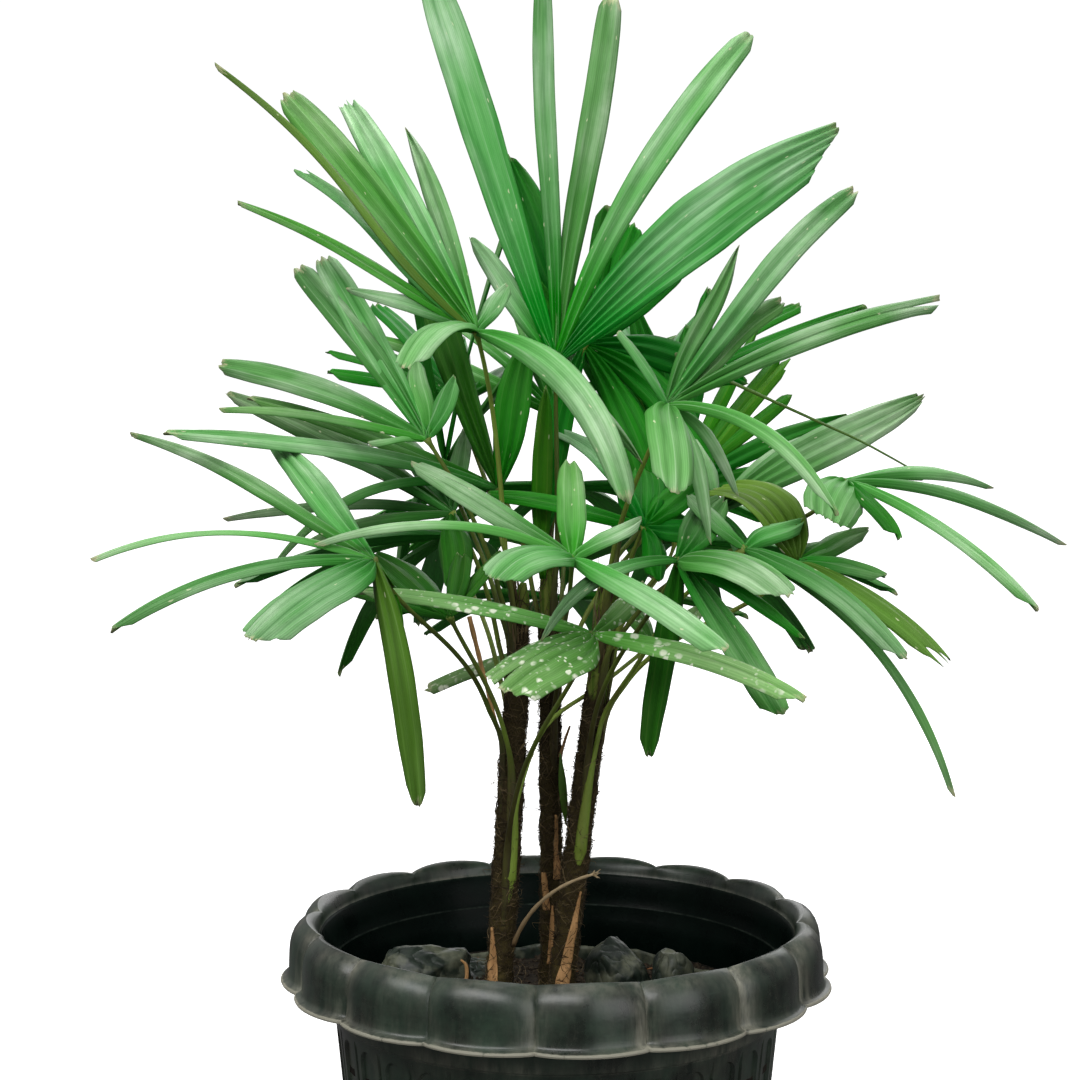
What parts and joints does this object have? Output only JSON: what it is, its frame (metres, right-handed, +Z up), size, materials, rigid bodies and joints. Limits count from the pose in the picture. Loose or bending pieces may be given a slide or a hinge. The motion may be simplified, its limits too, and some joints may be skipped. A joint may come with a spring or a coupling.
{
  "type": "potted lady palm",
  "caption": "Clumping fan palm with slender fibrous canes and deeply divided fan leaves, in a round plastic pot with a scalloped rim.",
  "frame": {"origin": "centre of the pot's flat underside, on the floor", "axes": "+Z up; the side in the picture faces -Y; +X to its right"},
  "size_m": [0.6427, 0.6148, 0.9543],
  "materials": {
    "pot": "satin, dusty dark green-black",
    "soil": "moist dark potting mix",
    "film": "crumpled dark film",
    "cane": "wrapped in brown fibre",
    "dry_stalk": "dry and dull",
    "frond": "satin leaf"
  },
  "bodies": {
    "root": {"cane_left": "cane", "cane_middle": "cane", "cane_right": "cane", "dry_stalk_high": "dry_stalk", "dry_stalk_low": "dry_stalk", "film_fold_far_right": "film", "film_fold_left": "film", "film_fold_low": "film", "film_fold_right": "film", "frond_back": "frond", "frond_back_high": "frond", "frond_back_left": "frond", "frond_back_left_high": "frond", "frond_back_low": "frond", "frond_back_right": "frond", "frond_back_right_high": "frond", "frond_centre": "frond", "frond_crown": "frond", "frond_crown_back": "frond", "frond_far_right": "frond", "frond_front": "frond", "frond_front_low": "frond", "frond_front_right": "frond", "frond_left": "frond", "frond_left_dark": "frond", "frond_low_dark": "frond", "frond_low_right": "frond", "frond_lower_left": "frond", "frond_right": "frond", "frond_right_back": "frond", "frond_right_long": "frond", "frond_right_wide": "frond", "frond_side_left": "frond", "frond_side_right": "frond", "frond_upper_left": "frond", "frond_upper_right": "frond", "frond_upright_left": "frond", "pot": "pot", "soil": "soil"}
  },
  "joints": []
}
